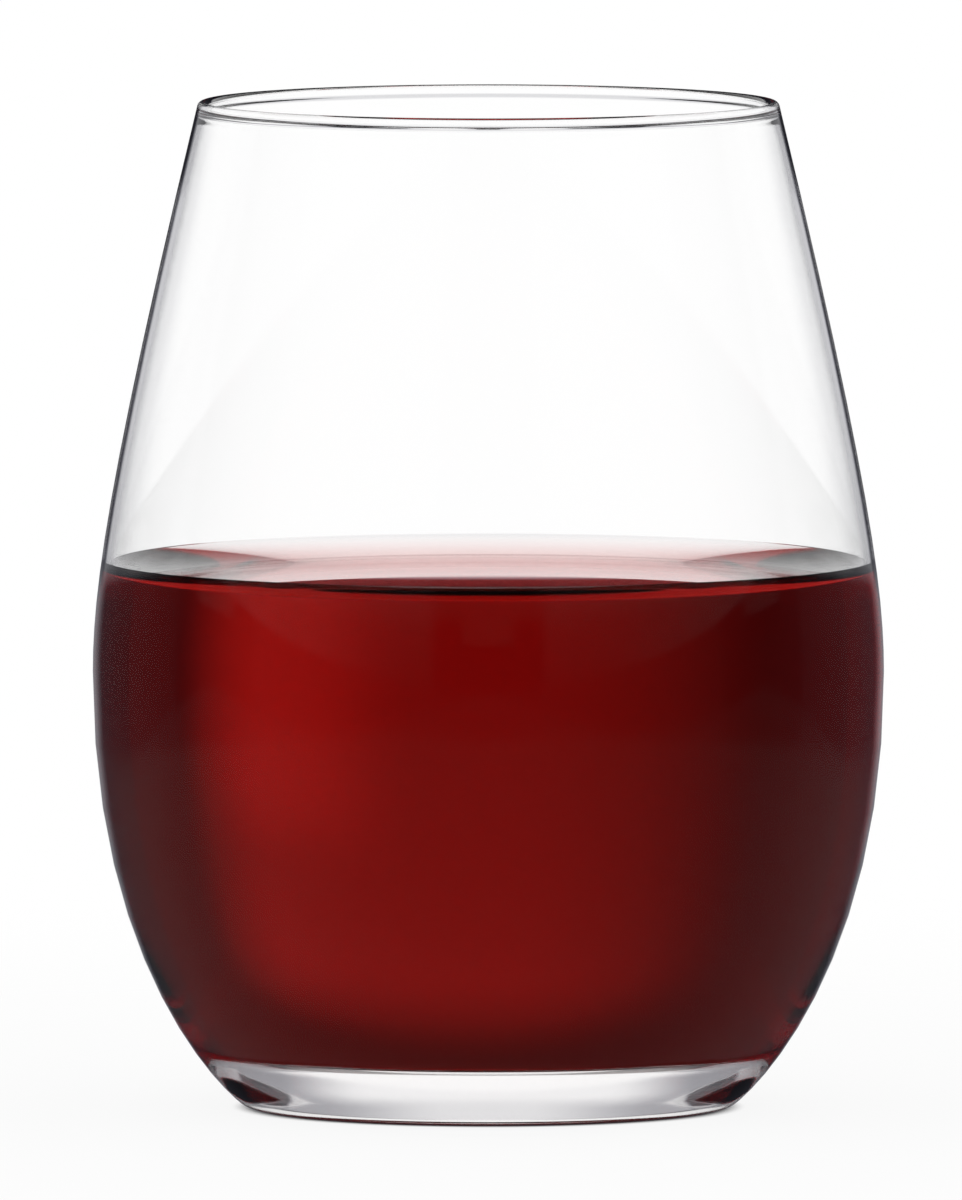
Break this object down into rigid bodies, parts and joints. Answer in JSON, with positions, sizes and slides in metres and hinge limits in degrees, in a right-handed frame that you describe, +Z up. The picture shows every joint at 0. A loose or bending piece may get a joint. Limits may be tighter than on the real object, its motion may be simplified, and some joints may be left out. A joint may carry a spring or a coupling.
{
  "type": "double old fashioned glass",
  "caption": "Stemless egg-shaped tumbler of clear glass with an inward-leaning wall, a beaded lip and a thick base, part filled with red wine.",
  "frame": {"origin": "on the glass's axis, in the plane of the foot ring that it stands on", "axes": "+Z up along the axis and out of the mouth; X and Y are any two directions across the round glass"},
  "size_m": [0.0826, 0.0826, 0.105],
  "materials": {
    "clear_glass": "polished",
    "red_wine": "polished"
  },
  "bodies": {
    "root": {"glass_tumbler": "clear_glass", "red_wine": "red_wine"}
  },
  "joints": []
}
